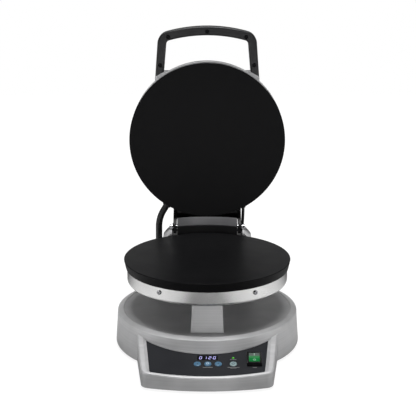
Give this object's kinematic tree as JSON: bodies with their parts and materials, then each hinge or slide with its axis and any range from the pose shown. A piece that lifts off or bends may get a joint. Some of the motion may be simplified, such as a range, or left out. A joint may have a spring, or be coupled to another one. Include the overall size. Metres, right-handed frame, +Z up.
{
  "type": "crepe maker",
  "caption": "Crepe maker: round base with a sloping control box, heated lower plate on a pedestal, and a hinged heated upper plate with a bow handle, shown open.",
  "frame": {"origin": "centre of the bounding box in plan, on the surface that the feet stand on", "axes": "+X to the user's right, +Y to the back, +Z up"},
  "size_m": [0.3386, 0.4754, 0.5623],
  "materials": {
    "black_gloss": "glossy black moulding",
    "black_paint": "matt black paint",
    "black_plastic": "fine matt black moulding",
    "black_screw": "blackened steel",
    "blue_key": "blue translucent key",
    "board": "green circuit board",
    "brass": "plain brass",
    "cable": "black silicone sleeve",
    "component": "moulded component",
    "element": "heat-tinted steel sheath",
    "fascia": "dark blue-grey printed panel",
    "green_lens": "clear green lens",
    "green_rocker": "translucent green rocker",
    "guard_steel": "grey brushed stainless sheet",
    "nonstick": "black non-stick coating on cast aluminium",
    "pale_key": "pale grey-green key",
    "pin_steel": "bright ground steel",
    "rubber": "black rubber",
    "sheet_steel": "galvanised sheet",
    "silver_paint": "satin silver paint over a casting",
    "stainless": "brushed stainless sheet",
    "window": "smoked window",
    "wool": "mineral wool",
    "zinc_screw": "zinc plated steel"
  },
  "bodies": {
    "base": {"base_casting": "silver_paint", "base_glands": "black_plastic", "board_screws": "zinc_screw", "board_spacers": "brass", "bottom_plate": "sheet_steel", "bottom_plate_screws": "zinc_screw", "buzzer": "component", "casting_screws": "zinc_screw", "conduit": "cable", "control_board": "board", "control_fascia": "fascia", "cord_gland": "black_plastic", "display_module": "component", "display_window": "window", "foot_screws": "zinc_screw", "hinge_block": "black_paint", "hinge_guard": "guard_steel", "hinge_pin": "pin_steel", "housing_screws": "zinc_screw", "indicator_lamp": "green_lens", "key_switches": "component", "lead": "cable", "lead_clip": "black_plastic", "lower_cutout": "component", "lower_element": "element", "lower_housing": "stainless", "lower_insulation": "wool", "lower_plate": "nonstick", "lower_probe": "pin_steel", "pedestal": "silver_paint", "pin_clips": "black_screw", "power_board": "board", "power_relays": "component", "power_transformer": "component", "rear_tower": "silver_paint", "rocker_housing": "black_gloss", "rubber_feet": "rubber", "stop_rod": "pin_steel", "terminal_block": "component"},
    "lid": {"upper_plate": "nonstick", "upper_element": "element", "upper_insulation": "wool", "upper_probe": "pin_steel", "upper_cutout": "component", "lid_cover": "silver_paint", "cover_screws": "zinc_screw", "hinge_arm_left": "black_paint", "hinge_arm_right": "black_paint", "arm_screws": "black_screw", "hinge_saddle": "black_paint", "saddle_screws": "zinc_screw", "handle_front": "black_plastic", "handle_back": "black_plastic", "handle_screws": "black_screw", "lid_glands": "black_plastic"},
    "down_key": {"key_down": "blue_key"},
    "timer_key": {"key_timer": "blue_key"},
    "up_key": {"key_up": "blue_key"},
    "start_key": {"key_start": "pale_key"},
    "rocker": {"rocker": "green_rocker"}
  },
  "joints": [
    {"name": "lid_hinge", "type": "hinge", "parent": "base", "child": "lid", "pos_m": [0, 0.17475, 0.1673], "axis": [1, 0, 0], "range_deg": [0, 90], "deforming": ["conduit", "lead"]},
    {"name": "down_key_press", "type": "slide", "parent": "base", "child": "down_key", "axis": [0, 0.213, -0.977], "range_m": [0, 0.0006], "stiffness_N_per_m": 600, "springref_m": -0.0012},
    {"name": "timer_key_press", "type": "slide", "parent": "base", "child": "timer_key", "axis": [0, 0.213, -0.977], "range_m": [0, 0.0006], "stiffness_N_per_m": 600, "springref_m": -0.0012},
    {"name": "up_key_press", "type": "slide", "parent": "base", "child": "up_key", "axis": [0, 0.213, -0.977], "range_m": [0, 0.0006], "stiffness_N_per_m": 600, "springref_m": -0.0012},
    {"name": "start_key_press", "type": "slide", "parent": "base", "child": "start_key", "axis": [0, 0.213, -0.977], "range_m": [0, 0.0006], "stiffness_N_per_m": 600, "springref_m": -0.0012},
    {"name": "rocker_tilt", "type": "hinge", "parent": "base", "child": "rocker", "pos_m": [0.0794, -0.18601, 0.03838], "axis": [1, 0, 0], "range_deg": [-24, 0]}
  ]
}
